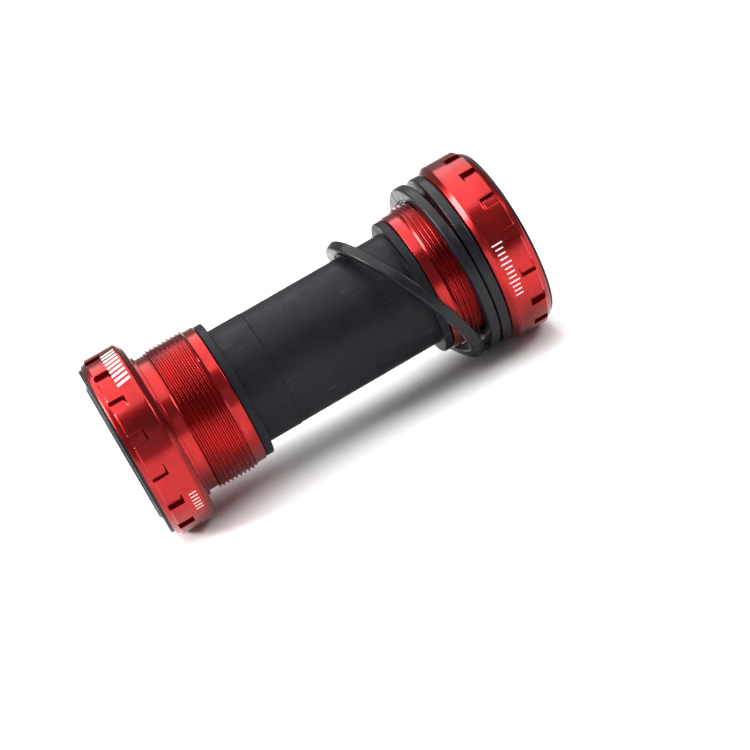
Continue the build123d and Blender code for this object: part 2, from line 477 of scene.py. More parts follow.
def ring_edges(mesh: bmesh.types.BMesh, place: float, radius: float) -> list[bmesh.types.BMEdge]:
    """Open edges that lie on one circle about the spindle axis.

    Args:
        mesh: mesh to look in.
        place: where the circle is along Y, mm.
        radius: its radius, mm.

    Returns:
        The edges found.
    """
    near = 1e-3

    def on_circle(v: bmesh.types.BMVert) -> bool:
        """Whether a vertex is on the circle."""
        return abs(v.co.y - place) < near and abs(math.hypot(v.co.x, v.co.z) - radius) < near

    return [e for e in mesh.edges if len(e.link_faces) < 2 and all(on_circle(v) for v in e.verts)]


def finish_piece(mesh: bmesh.types.BMesh, name: str, material: bpy.types.Material,
                 sharp_degrees: float = 38.0) -> bpy.types.Object:
    """Close a mesh off as a piece in metres, shaded smooth between its sharp edges.

    Args:
        mesh: the piece in millimetres, which is freed.
        name: the piece's name.
        material: its finish.
        sharp_degrees: edges that turn more than this stay sharp.

    Returns:
        The piece, at the origin.
    """
    bmesh.ops.remove_doubles(mesh, verts=mesh.verts, dist=1e-4)
    bmesh.ops.dissolve_degenerate(mesh, edges=mesh.edges, dist=1e-5)
    bmesh.ops.recalc_face_normals(mesh, faces=mesh.faces)
    open_edges = sum(1 for e in mesh.edges if len(e.link_faces) != 2)
    bmesh.ops.scale(mesh, vec=(MM, MM, MM), verts=mesh.verts)
    data = bpy.data.meshes.new(name)
    mesh.to_mesh(data)
    mesh.free()
    data.polygons.foreach_set("use_smooth", [True] * len(data.polygons))
    data.set_sharp_from_angle(angle=math.radians(sharp_degrees))
    data.materials.append(material)
    piece = bpy.data.objects.new(name, data)
    bpy.context.scene.collection.objects.link(piece)
    weighted = piece.modifiers.new("weighted_normals", "WEIGHTED_NORMAL")
    weighted.keep_sharp = True
    log.info("%s: %d faces, %d open edges", name, len(data.polygons), open_edges)
    return piece


class Assembly:
    """Shared ways to place pieces on the frame."""

    bodies: dict[str, str] = {
        node: body
        for body, nodes in frame["record"]["behaviour"]["bodies"].items()
        for node in nodes
    }
    slots: dict[str, str] = {s["node"]: s["material_slot"] for s in frame["record"]["subparts"]}

    def stand_for(self, piece: bpy.types.Object, node: str) -> None:
        """Let a piece take the place of a CAD node, on its body."""
        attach(piece, self.bodies[node])
        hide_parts(node)

    def add_to(self, piece: bpy.types.Object, node: str) -> None:
        """Let an extra piece go with a CAD node's body."""
        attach(piece, self.bodies[node])

    @staticmethod
    def reach(node: str) -> tuple[float, float]:
        """Nearest and farthest place of a one-sided node from the middle, mm."""
        low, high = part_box(node)
        near, far = sorted((abs(low.y), abs(high.y)))
        return near / MM, far / MM


# ---------------------------------------------------------------- marks


@dataclass(frozen=True)
class Mark:
    """A flat shape laid on a round surface. Its u runs round the axis and its v along it, mm."""

    u: float
    v: float
    width: float  # round the axis
    height: float  # along the axis
    tip: float = 1.0  # height at the far end as a share, 0 for an arrow head
    slant: float = 0.0  # how far the top is shifted round

    def lay(self, radius: float, top: float, out: int, proud: float) -> bmesh.types.BMesh:
        """Make the mark as a thin solid on a cylinder.

        Args:
            radius: the cylinder's radius, mm.
            top: angle of u = 0 from the top, towards -X, degrees.
            out: which way along Y is outwards.
            proud: how far it stands out of the surface, mm.

        Returns:
            The mark's mesh.
        """
        mesh = bmesh.new()
        columns = max(2, round(self.width / 0.4))
        bmesh.ops.create_grid(mesh, x_segments=columns, y_segments=1, size=0.5)
        for v in mesh.verts:
            share = v.co.x + 0.5
            height = self.height * (1 + (self.tip - 1) * share)
            u = self.u + self.width * v.co.x + self.slant * v.co.y
            along = self.v + height * v.co.y
            v.co = (u, along, 0)
        bmesh.ops.solidify(mesh, geom=mesh.faces[:], thickness=2 * proud)
        for v in mesh.verts:
            lift = proud if v.co.z > proud / 2 or v.co.z > -1e-6 else -proud
            turn = math.radians(top) + v.co.x / radius
            r = radius + lift
            v.co = (-r * math.sin(turn), out * v.co.y, r * math.cos(turn))
        return mesh


def lay_marks(marks: list[Mark], radius: float, top: float, out: int, proud: float) -> bmesh.types.BMesh:
    """Lay several marks on one cylinder.

    Args:
        marks: the marks.
        radius: the cylinder's radius, mm.
        top: angle of u = 0 from the top, towards -X, degrees.
        out: which way along Y is outwards.
        proud: how far they stand out, mm.

    Returns:
        One mesh with all of them.
    """
    return join(bmesh.new(), *(m.lay(radius, top, out, proud) for m in marks))


# ---------------------------------------------------------------- cups


@dataclass
class Cup(Assembly):
    """A threaded cup: flange with wrench notches, neck, thread and lead-in lip."""

    side: Side
    palette: Palette
    notch_turn: float  # degrees from the top to a notch
    flange_r: float = 22.0
    flange_width: float = 10.1
    flange_chamfer: float = 1.4
    lip_ring_r: float = 21.5
    lip_ring_fall: float = 0.35  # its outside is slightly conical
    lip_ring_width: float = 1.2
    rim_chamfer: float = 0.25
    notch_count: int = 16
    notch_width: float = 2.6
    notch_floor_r: float = 21.0
    notch_length: float = 3.7  # from the lip ring
    notch_corner: float = 0.65
    thread_r: float = 17.4
    thread_pitch: float = 25.4 / 24
    thread_depth: float = 0.55
    thread_flat: float = 0.16
    register_width: float = 0.9
    neck_r: float = 16.6
    neck_end: float = 35.1
    lead_r: float = 16.7
    lead_width: float = 2.5
    bore_r: float = 15.0
    seat_r: float = 18.5
    seat_depth: float = 8.5  # from the flange's end to the bearing's shoulder
    shoulder_r: float = 16.85
    shoulder_relief: float = 0.5
    recess_r: float = 20.75
    recess_depth: float = 1.3

    def __post_init__(self) -> None:
        """Read the cup's places from the frame."""
        self.node = f"{self.side.label}_cup"
        self.barrel_end, self.flange_end = self.reach(self.node)
        self.flange_face = self.flange_end - self.flange_width
        self.lathe = Lathe(self.side)
        self.lands_end = self.flange_end - self.lip_ring_width
        self.notch_start = self.lands_end - self.notch_length
        self.sector = FULL_TURN / self.notch_count
        self.half_notch = math.asin(self.notch_width / 2 / self.flange_r)

    def build(self) -> None:
        """Make the cup and its marks, and place them."""
        mesh = self.flange()
        join(mesh, self.thread())
        self.bridge(mesh, (self.flange_face - self.register_width - 0.3, self.neck_r), (self.neck_end, self.neck_r))
        lip_joint = self.barrel_end + 0.8 * self.lead_width
        self.bridge(mesh, (lip_joint, self.lead_r), (self.barrel_end + self.lead_width, self.lead_r))
        cup = finish_piece(mesh, f"{self.node}_body", self.palette.cup)
        self.stand_for(cup, self.node)
        marks = finish_piece(self.marks(), f"{self.node}_marks", self.palette.mark)
        self.add_to(marks, self.node)

    def bridge(self, mesh: bmesh.types.BMesh, first: Corner, second: Corner) -> None:
        """Join two open circles, each given as (place, radius)."""
        edges = []
        for place, radius in (first, second):
            edges += ring_edges(mesh, self.side.value * place, radius)
        bmesh.ops.bridge_loops(mesh, edges=edges)

    def flange_outline(self) -> list[Corner]:
        """Outline from the neck round the flange and the bore to the lip, left open.

        Returns:
            The corners.
        """
        end, face = self.flange_end, self.flange_face
        lands_end = self.lands_end
        shoulder = end - self.seat_depth
        rim = self.rim_chamfer
        return [
            (face - self.register_width - 0.3, self.neck_r),
            (face - self.register_width, self.neck_r),
            (face - self.register_width, self.thread_r, 0.2),
            (face, self.thread_r, 0.12),
            (face, self.flange_r - self.flange_chamfer, 0.25),
            (face + self.flange_chamfer, self.flange_r, 0.35),
            (self.notch_start - 0.6, self.flange_r),
            (self.notch_start, self.flange_r),
            (lands_end - rim, self.flange_r),
            (lands_end, self.flange_r - rim),
            (lands_end, self.lip_ring_r),
            (end - rim, self.lip_ring_r - self.lip_ring_fall),
            (end, self.lip_ring_r - self.lip_ring_fall - rim),
            (end, self.recess_r, 0.08),
            (end - self.recess_depth, self.recess_r),
            (end - self.recess_depth, self.seat_r, 0.2),
            (shoulder, self.seat_r),
            (shoulder, self.shoulder_r),
            (shoulder - self.shoulder_relief, self.shoulder_r),
            (shoulder - self.shoulder_relief, self.bore_r, 0.15),
            (self.barrel_end, self.bore_r, 0.2),
            (self.barrel_end, self.lead_r, 0.3),
            (self.barrel_end + 0.8 * self.lead_width, self.lead_r),
        ]

    def flange(self) -> bmesh.types.BMesh:
        """Flange and bore with their notches: one sector, cut and copied round.

        Returns:
            The mesh, open at the neck and at the lip.
        """
        mesh = bmesh.new()
        drawn = self.lathe.outline(mesh, self.flange_outline(), False)
        bmesh.ops.rotate(mesh, verts=mesh.verts, cent=(0, 0, 0),
                         matrix=Matrix.Rotation(-self.sector / 2, 3, SPINDLE))
        steps = FACETS // self.notch_count
        bmesh.ops.spin(mesh, geom=drawn, cent=(0, 0, 0), axis=SPINDLE, angle=self.sector,
                       steps=steps, use_merge=False, dvec=(0, 0, 0))
        self.gather_columns(mesh, steps)
        self.cut_notch(mesh)
        bmesh.ops.rotate(mesh, verts=mesh.verts, cent=(0, 0, 0),
                         matrix=Matrix.Rotation(math.radians(-self.notch_turn), 3, SPINDLE))
        copies = self.notch_count - 1
        bmesh.ops.spin(mesh, geom=mesh.verts[:] + mesh.edges[:] + mesh.faces[:], cent=(0, 0, 0),
                       axis=SPINDLE, angle=self.sector * copies, steps=copies, use_duplicate=True,
                       use_merge=False, dvec=(0, 0, 0))
        bmesh.ops.remove_doubles(mesh, verts=mesh.verts, dist=1e-4)
        return mesh

    def gather_columns(self, mesh: bmesh.types.BMesh, steps: int) -> None:
        """Move the sector's columns so that two of them stand at the notch's sides."""
        edge_step = 2 * self.sector / steps  # the notch is four columns wide
        rest = self.sector / 2
        for v in mesh.verts:
            angle = math.atan2(v.co.x, v.co.z)
            if abs(angle) <= edge_step + 1e-6:
                wanted = angle * self.half_notch / edge_step
            else:
                share = (abs(angle) - edge_step) / (rest - edge_step)
                wanted = math.copysign(self.half_notch + share * (rest - self.half_notch), angle)
            v.co = Matrix.Rotation(wanted - angle, 3, SPINDLE) @ v.co

    def cut_notch(self, mesh: bmesh.types.BMesh) -> None:
        """Cut one notch in the sector round the top: floor, end wall, side walls and soft edges."""
        out = self.side.value
        start, end = self.notch_start, self.lands_end
        near = 1e-3

        def angle(co: Vector) -> float:
            """Angle of a point from the top."""
            return math.atan2(co.x, co.z)

        def within(face: bmesh.types.BMFace) -> bool:
            """Whether a face is part of what the notch removes."""
            centre = face.calc_center_median()
            radius, place = math.hypot(centre.x, centre.z), out * centre.y
            inside = start < place <= end + near and radius > self.notch_floor_r
            return inside and abs(angle(centre)) < self.half_notch

        bmesh.ops.delete(mesh, geom=[f for f in mesh.faces if within(f)], context="FACES")

        def arc(place: float, radius: float) -> list[bmesh.types.BMEdge]:
            """Open edges of the notch at one place and radius."""
            return [e for e in ring_edges(mesh, out * place, radius)
                    if all(abs(angle(v.co)) < self.half_notch + near for v in e.verts)]

        step = bmesh.ops.extrude_edge_only(mesh, edges=arc(end, self.lip_ring_r))["geom"]
        shrink = self.notch_floor_r / self.lip_ring_r
        bmesh.ops.scale(mesh, vec=(shrink, 1, shrink), verts=[g for g in step if isinstance(g, bmesh.types.BMVert)])
        floor = bmesh.ops.extrude_edge_only(mesh, edges=arc(end, self.notch_floor_r))["geom"]
        moved = [g for g in floor if isinstance(g, bmesh.types.BMVert)]
        bmesh.ops.translate(mesh, vec=(0, -out * self.notch_length, 0), verts=moved)
        bmesh.ops.bridge_loops(mesh, edges=arc(start, self.notch_floor_r) + arc(start, self.flange_r))

        def at_side(v: bmesh.types.BMVert, sign: int) -> bool:
            """Whether a vertex stands at one side of the notch."""
            return abs(angle(v.co) - sign * self.half_notch) < near

        for sign in (-1, 1):
            wall = [e for e in mesh.edges if len(e.link_faces) == 1 and all(at_side(v, sign) for v in e.verts)]
            bmesh.ops.edgeloop_fill(mesh, edges=wall)
        bmesh.ops.recalc_face_normals(mesh, faces=mesh.faces)
        self.soften_notch(mesh, at_side)

    def soften_notch(self, mesh: bmesh.types.BMesh, at_side) -> None:
        """Round the notch's inner corners as a cutter leaves them, and break its outer edges."""
        out = self.side.value
        start = self.notch_start
        near = 1e-3

        def low(v: bmesh.types.BMVert) -> bool:
            """Whether a vertex is on the notch's floor."""
            on_floor = abs(math.hypot(v.co.x, v.co.z) - self.notch_floor_r) < near
            return on_floor and abs(math.atan2(v.co.x, v.co.z)) < self.half_notch + near

        def at_end(v: bmesh.types.BMVert) -> bool:
            """Whether a vertex is at the notch's inboard end."""
            return abs(out * v.co.y - start) < near and abs(math.atan2(v.co.x, v.co.z)) < self.half_notch + near

        sides = [e for e in mesh.edges if any(all(at_side(v, s) for v in e.verts) for s in (-1, 1))]
        walls = [e for e in sides if len(e.link_faces) == 2 and any(
            all(at_side(v, s) for v in f.verts) for f in e.link_faces for s in (-1, 1))]
        inner = [e for e in walls if all(low(v) for v in e.verts) or all(at_end(v) for v in e.verts)]
        inner += [e for e in mesh.edges if all(low(v) and at_end(v) for v in e.verts)]
        outer = [e for e in walls if e not in inner]
        outer += [e for e in mesh.edges if e not in inner and len(e.link_faces) == 2
                  and all(at_end(v) and not low(v) for v in e.verts)]
        bmesh.ops.bevel(mesh, geom=list(set(outer)), offset=0.18, offset_type="OFFSET", segments=2,
                        profile=0.5, affect="EDGES", material=-1, clamp_overlap=True)
        inner = [e for e in inner if e.is_valid]
        bmesh.ops.bevel(mesh, geom=list(set(inner)), offset=self.notch_corner, offset_type="OFFSET", segments=3,
                        profile=0.5, affect="EDGES", material=-1, clamp_overlap=True)

    def thread(self) -> bmesh.types.BMesh:
        """The thread as one true helix, right-hand on the non-drive side and left-hand on the other.

        Returns:
            The mesh, ended by a circle at the neck and one at the lip.
        """
        out = self.side.value
        start, end = self.barrel_end + self.lead_width, self.neck_end
        root = self.thread_r - self.thread_depth
        flank = self.thread_pitch / 2 - self.thread_flat
        shape = [(0.0, root), (self.thread_flat, root), (self.thread_flat + flank, self.thread_r),
                 (2 * self.thread_flat + flank, self.thread_r)]
        pitches = math.ceil((end - start) / self.thread_pitch) + 3
        first = start - 2 * self.thread_pitch
        corners = [(first + n * self.thread_pitch + along, radius, 0.05)
                   for n in range(pitches + 1) for along, radius in shape]
        corners[0], corners[-1] = corners[0][:2], corners[-1][:2]
        mesh = bmesh.new()
        drawn = self.lathe.outline(mesh, corners, False)
        bmesh.ops.spin(mesh, geom=drawn, cent=(0, 0, 0), axis=SPINDLE, angle=FULL_TURN, steps=FACETS,
                       use_merge=False, dvec=(0, out * self.thread_pitch / FACETS, 0))
        bmesh.ops.remove_doubles(mesh, verts=mesh.verts, dist=1e-4)
        for place, sign in ((start, 1), (end, -1)):
            geometry = mesh.verts[:] + mesh.edges[:] + mesh.faces[:]
            bmesh.ops.bisect_plane(mesh, geom=geometry, plane_co=(0, out * place, 0),
                                   plane_no=(0, -out * sign, 0), clear_outer=True, dist=1e-5)
        self.taper_thread(mesh, start, end)
        for place, radius in ((start, self.lead_r), (end, self.neck_r)):
            self.close_thread(mesh, out * place, radius)
        return mesh

    def taper_thread(self, mesh: bmesh.types.BMesh, start: float, end: float) -> None:
        """Chamfer the thread's first and last turns."""
        root = self.thread_r - self.thread_depth
        for v in mesh.verts:
            place = abs(v.co.y)
            radius = math.hypot(v.co.x, v.co.z)
            limit = root + 0.08 + min(0.75 * (place - start), 1.2 * (end - place))
            if radius > limit:
                v.co.x *= limit / radius
                v.co.z *= limit / radius

    @staticmethod
    def close_thread(mesh: bmesh.types.BMesh, place: float, radius: float) -> None:
        """Close one end of the thread down to a circle of the given radius."""
        near = 1e-3
        rim = [e for e in mesh.edges if len(e.link_faces) == 1 and all(abs(v.co.y - place) < near for v in e.verts)]
        upright = Matrix.Translation((0, place, 0)) @ Matrix.Rotation(math.pi / 2, 4, "X")
        circle = bmesh.ops.create_circle(mesh, radius=radius, segments=FACETS, cap_ends=False, matrix=upright)
        edges = list({e for v in circle["verts"] for e in v.link_edges})
        bmesh.ops.bridge_loops(mesh, edges=rim + edges)

    def marks(self) -> bmesh.types.BMesh:
        """Plain laser marks on the flange: an arrow and index ticks.

        Returns:
            The marks' mesh.
        """
        middle = (self.flange_face + self.flange_chamfer + self.notch_start) / 2
        arrow = [Mark(70.0, middle, 6.0, 0.5), Mark(74.2, middle, 2.4, 2.6, tip=0.0)]
        if self.side is Side.DRIVE:
            ticks = [Mark(1.15 * n, middle, 0.32, 1.9 if n % 4 else 2.6) for n in range(12)]
            return lay_marks(ticks + arrow, self.flange_r, 74.0, self.side.value, 0.02)
        bars = [Mark(1.5 * n, middle + 0.3, 0.75, 3.3, slant=0.7) for n in range(-5, 4)]
        ticks = [Mark(34.6 + 1.1 * n, middle - 0.4, 0.3, 1.7) for n in range(6)]
        return lay_marks(bars + arrow + ticks, self.flange_r, 22.0, self.side.value, 0.02)


# ---------------------------------------------------------------- bearings and caps


@dataclass
class Bearing(Assembly):
    """A sealed ball bearing, 25 x 37 x 7."""

    side: Side
    palette: Palette
    bore_r: float = 12.5
    outer_r: float = 18.5
    inner_land_r: float = 14.15
    outer_land_r: float = 16.85
    ball_r: float = 1.5875
    pitch_r: float = 15.5
    ball_count: int = 18
    play: float = 0.06
    edge: float = 0.3
    seal_r: float = 14.3

    def __post_init__(self) -> None:
        """Read the bearing's faces from the frame."""
        self.inboard, self.outboard = self.reach(f"{self.side.label}_outer_race")
        self.lathe = Lathe(self.side)

    def build(self) -> None:
        """Make and place the races, balls, cage and seals."""
        label = self.side.label
        self.piece(self.race(self.outer_r, self.outer_land_r), "outer_race", self.palette.race)
        self.piece(self.race(self.bore_r, self.inner_land_r), "inner_race", self.palette.race)
        self.piece(self.balls(), "bearing_balls", self.palette.ball)
        for seal in ("outboard_seal", "inboard_seal"):
            self.piece(self.seal(f"{label}_{seal}"), seal, self.palette.seal)
        cage = frame["nodes"][f"{label}_ball_cage"]
        cage.data.materials.clear()
        cage.data.materials.append(self.palette.cage)

    def piece(self, mesh: bmesh.types.BMesh, name: str, material: bpy.types.Material) -> None:
        """Finish a mesh and let it stand for its node."""
        node = f"{self.side.label}_{name}"
        self.stand_for(finish_piece(mesh, f"{node}_detailed", material), node)

    def race(self, back_r: float, land_r: float) -> bmesh.types.BMesh:
        """A race: plain back with broken edges, and a raceway sunk in the other face.

        Args:
            back_r: radius of the face away from the balls.
            land_r: radius of the face beside the balls.

        Returns:
            The mesh.
        """
        middle = (self.inboard + self.outboard) / 2
        groove_r = self.ball_r + self.play
        sink = abs(land_r - self.pitch_r)
        half = math.sqrt(groove_r**2 - sink**2)
        reach = math.atan2(half, sink)
        towards = 1 if land_r > self.pitch_r else -1
        arc = []
        for n in range(13):
            turn = reach * (1 - n / 6)
            arc.append((middle - groove_r * math.sin(turn), self.pitch_r + towards * groove_r * math.cos(turn)))
        return self.lathe.turn([
            (self.inboard, back_r, self.edge),
            (self.inboard, land_r, 0.1),
            *arc,
            (self.outboard, land_r, 0.1),
            (self.outboard, back_r, self.edge),
        ])

    def balls(self) -> bmesh.types.BMesh:
        """The ball row.

        Returns:
            The mesh, one closed sphere for each ball.
        """
        mesh = bmesh.new()
        middle = self.side.value * (self.inboard + self.outboard) / 2
        for n in range(self.ball_count):
            turn = math.pi / 2 - FULL_TURN * n / self.ball_count
            centre = (self.pitch_r * math.sin(turn), middle, self.pitch_r * math.cos(turn))
            bmesh.ops.create_icosphere(mesh, subdivisions=4, radius=self.ball_r, matrix=Matrix.Translation(centre))
        return mesh

    def seal(self, node: str) -> bmesh.types.BMesh:
        """A rubber seal with a raised rim and a pressed step.

        Args:
            node: the CAD node that it stands for.

        Returns:
            The mesh.
        """
        near, far = self.reach(node)
        outboard = far > (self.inboard + self.outboard) / 2
        face, back = (far, near) if outboard else (near, far)
        step = 0.18 if outboard else -0.18
        return self.lathe.turn([
            (back, self.seal_r, 0.08),
            (face - step, self.seal_r, 0.1),
            (face - step, self.seal_r + 0.5, 0.08),
            (face, self.seal_r + 0.7, 0.08),
            (face, self.outer_land_r - 0.75, 0.08),
            (face - step, self.outer_land_r - 0.55, 0.08),
            (face - step, self.outer_land_r, 0.06),
            (back, self.outer_land_r, 0.06),
        ])


@dataclass
class DustCap(Assembly):
    """A dust cap with its bore tube, and the rubber wiper under its disc."""

    side: Side
    palette: Palette
    bore_r: float = 12.02
    tube_r: float = 12.48
    hub_r: float = 13.9
    disc_r: float = 20.5
    boss_r: float = 16.2
    boss_height: float = 0.5
    disc_thickness: float = 1.45
    hub_height: float = 0.85
    wiper_inner_r: float = 18.9
    wiper_outer_r: float = 19.8

    def build(self) -> None:
        """Make and place the cap and its wiper."""
        node = f"{self.side.label}_dust_cap"
        tube_end, face = self.reach(node)
        disc_end = face - self.boss_height
        disc_start = disc_end - self.disc_thickness
        lathe = Lathe(self.side)
        cap = lathe.turn([
            (tube_end, self.bore_r, 0.12),
            (tube_end, self.tube_r, 0.12),
            (disc_start - self.hub_height, self.tube_r),
            (disc_start - self.hub_height, self.hub_r, 0.12),
            (disc_start, self.hub_r, 0.1),
            (disc_start, self.disc_r, 0.15),
            (disc_end, self.disc_r, 0.35),
            (disc_end, self.boss_r + 0.9 * self.boss_height, 0.3),
            (face, self.boss_r, 0.3),
            (face, self.bore_r, 0.25),
        ])
        self.stand_for(finish_piece(cap, f"{node}_detailed", self.palette.cap), node)
        node = f"{self.side.label}_cap_wiper"
        tip, root = self.reach(node)
        middle = (self.wiper_inner_r + self.wiper_outer_r) / 2
        wiper = lathe.turn([
            (root, self.wiper_inner_r, 0.06),
            (root, self.wiper_outer_r, 0.06),
            (tip + 0.15, middle + 0.28, 0.06),
            (tip, middle + 0.1, 0.05),
            (tip, middle - 0.1, 0.05),
            (tip + 0.15, middle - 0.28, 0.06),
        ])
        self.stand_for(finish_piece(wiper, f"{node}_detailed", self.palette.seal), node)


# ---------------------------------------------------------------- sleeve and spacers


@dataclass
class Sleeve(Assembly):
    """The centre sleeve: a main tube, a pushed-on end piece, and an O-ring at each end."""

    palette: Palette
    tube_r: float = 13.93
    end_r: float = 14.05
    bore_r: float = 12.75
    lap_r: float = 13.35
    lap_length: float = 5.0
    collar_r: float = 16.4
    collar_width: float = 2.0
    plug_r: float = 14.7
    plug_length: float = 9.0
    groove_r: float = 13.52
    groove_width: float = 1.9
    groove_place: float = 4.0
    seam_width: float = 0.14
    witness_place: float = 0.8  # from the seam
    witness_width: float = 0.2
    witness_depth: float = 0.06

    def __post_init__(self) -> None:
        """Read the sleeve's places from the frame, mm along Y."""
        low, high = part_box("main_sleeve")
        self.drive_plug_end = -low.y / MM
        self.tongue_end = high.y / MM
        self.seam = self.tongue_end - self.lap_length
        self.non_drive_plug_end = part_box("sleeve_end")[1].y / MM

    def build(self) -> None:
        """Make and place the sleeve's pieces."""
        main = join(self.main_tube(), self.parting_lines(-self.drive_collar() + 0.2, self.seam - 0.6, self.tube_r),
                    self.moulded_marks())
        self.stand_for(finish_piece(main, "main_sleeve_detailed", self.palette.sleeve), "main_sleeve")
        end = join(self.end_tube(), self.parting_lines(self.seam + 0.6, self.end_collar() - 0.2, self.end_r))
        self.stand_for(finish_piece(end, "sleeve_end_detailed", self.palette.sleeve), "sleeve_end")
        for side in Side:
            self.o_ring(side)

    def drive_collar(self) -> float:
        """Inboard face of the drive-side collar, from the middle."""
        return self.drive_plug_end - self.plug_length - self.collar_width

    def end_collar(self) -> float:
        """Inboard face of the non-drive collar, from the middle."""
        return self.non_drive_plug_end - self.plug_length - self.collar_width

    def collar_and_plug(self, collar: float, tube_r: float) -> list[Corner]:
        """Outer outline of one end, from the tube to the plug's mouth.

        Args:
            collar: inboard face of the collar, from the middle.
            tube_r: radius of the tube beside it.

        Returns:
            The corners.
        """
        face = collar + self.collar_width
        groove = face + self.groove_place
        half = self.groove_width / 2
        return [
            (collar, tube_r, 0.35),
            (collar, self.collar_r, 0.35),
            (face, self.collar_r, 0.3),
            (face, self.plug_r, 0.12),
            (groove - half, self.plug_r, 0.1),
            (groove - half, self.groove_r, 0.1),
            (groove + half, self.groove_r, 0.1),
            (groove + half, self.plug_r, 0.1),
            (face + self.plug_length, self.plug_r, 0.5),
            (face + self.plug_length, self.bore_r, 0.25),
        ]

    def main_tube(self) -> bmesh.types.BMesh:
        """The main tube, with the tongue that the end piece covers.

        Returns:
            The mesh.
        """
        drive_end = [(-c[0], *c[1:]) for c in self.collar_and_plug(self.drive_collar(), self.tube_r)]
        return Lathe().turn([
            *reversed(drive_end),
            (self.seam, self.tube_r, self.seam_width),
            (self.seam, self.lap_r),
            (self.tongue_end, self.lap_r),
            (self.tongue_end, self.bore_r),
        ])

    def end_tube(self) -> bmesh.types.BMesh:
        """The end piece, with a fine witness line beside the seam.

        Returns:
            The mesh.
        """
        line, half = self.seam + self.witness_place, self.witness_width / 2
        return Lathe().turn([
            (self.seam, self.lap_r),
            (self.seam, self.end_r, self.seam_width),
            (line - half, self.end_r),
            (line, self.end_r - self.witness_depth),
            (line + half, self.end_r),
            *self.collar_and_plug(self.end_collar(), self.end_r),
            (self.tongue_end, self.bore_r),
            (self.tongue_end, self.lap_r),
        ])

    @staticmethod
    def parting_lines(start: float, end: float, radius: float) -> bmesh.types.BMesh:
        """Fine ridges that the two mould halves leave along opposite sides.

        Args:
            start: where they start along Y, mm.
            end: where they end.
            radius: the tube's radius.

        Returns:
            The ridges' mesh.
        """
        ridges = bmesh.new()
        for turn in (58.0, 238.0):
            ridge = bmesh.new()
            bmesh.ops.create_cube(ridge, size=1.0)
            bmesh.ops.scale(ridge, vec=(0.22, end - start, 0.3), verts=ridge.verts)
            upper = [e for e in ridge.edges if all(v.co.z > 0 for v in e.verts)]
            bmesh.ops.bevel(ridge, geom=upper, offset=0.07, offset_type="OFFSET", segments=2, profile=0.5,
                            affect="EDGES", material=-1)
            bmesh.ops.translate(ridge, vec=(0, (start + end) / 2, radius - 0.08), verts=ridge.verts)
            bmesh.ops.rotate(ridge, verts=ridge.verts, cent=(0, 0, 0),
                             matrix=Matrix.Rotation(math.radians(-turn), 3, SPINDLE))
            join(ridges, ridge)
        return ridges

    def moulded_marks(self) -> bmesh.types.BMesh:
        """Small raised dashes near the top of the tube.

        Returns:
            The marks' mesh.
        """
        dashes = [Mark(0.0, -2.0 + 1.5 * n, 1.5, 0.35) for n in range(6)]
        dashes += [Mark(2.6, -2.0 + 3.0 * n, 0.5, 0.5) for n in range(3)]
        return lay_marks(dashes, self.tube_r, 24.0, 1, 0.06)

    def o_ring(self, side: Side) -> None:
        """Make and place one O-ring."""
        node = f"{side.label}_sleeve_o_ring"
        near, far = self.reach(node)
        centre, section = (near + far) / 2, (far - near) / 2
        ring_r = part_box(node)[1].z / MM - section
        mesh = bmesh.new()
        drawn = bmesh.ops.create_circle(mesh, radius=section, segments=24, cap_ends=False)["verts"]
        upright = Matrix.Translation((0, side.value * centre, ring_r)) @ Matrix.Rotation(math.pi / 2, 4, "Y")
        bmesh.ops.transform(mesh, matrix=upright, verts=drawn)
        bmesh.ops.spin(mesh, geom=mesh.verts[:] + mesh.edges[:], cent=(0, 0, 0), axis=SPINDLE, angle=FULL_TURN,
                       steps=FACETS, use_merge=True, dvec=(0, 0, 0))
        self.stand_for(finish_piece(mesh, f"{node}_detailed", self.palette.seal, 60.0), node)


@dataclass
class Spacer(Assembly):
    """A thin shell spacer with rounded edges, straight or leaning."""

    node: str
    palette: Palette
    lean: float = 0.0  # degrees that its top leans towards the non-drive side
    turn: float = 0.0  # degrees about the spindle axis
    inner_r: float = 17.9
    outer_r: float = 21.0
    width: float = 2.5
    edge: float = 0.55

    def build(self) -> None:
        """Make and place the spacer."""
        half = self.width / 2
        mesh = Lathe().turn([
            (-half, self.inner_r, self.edge),
            (-half, self.outer_r, self.edge),
            (half, self.outer_r, self.edge),
            (half, self.inner_r, self.edge),
        ])
        low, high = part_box(self.node)
        centre = (low + high) / 2 / MM
        tilt = Matrix.Rotation(math.radians(self.turn), 4, SPINDLE) @ Matrix.Rotation(
            math.radians(-self.lean), 4, "X")
        bmesh.ops.transform(mesh, matrix=Matrix.Translation(centre) @ tilt, verts=mesh.verts)
        self.stand_for(finish_piece(mesh, f"{self.node}_detailed", self.palette.spacer), self.node)


# ---------------------------------------------------------------- studio


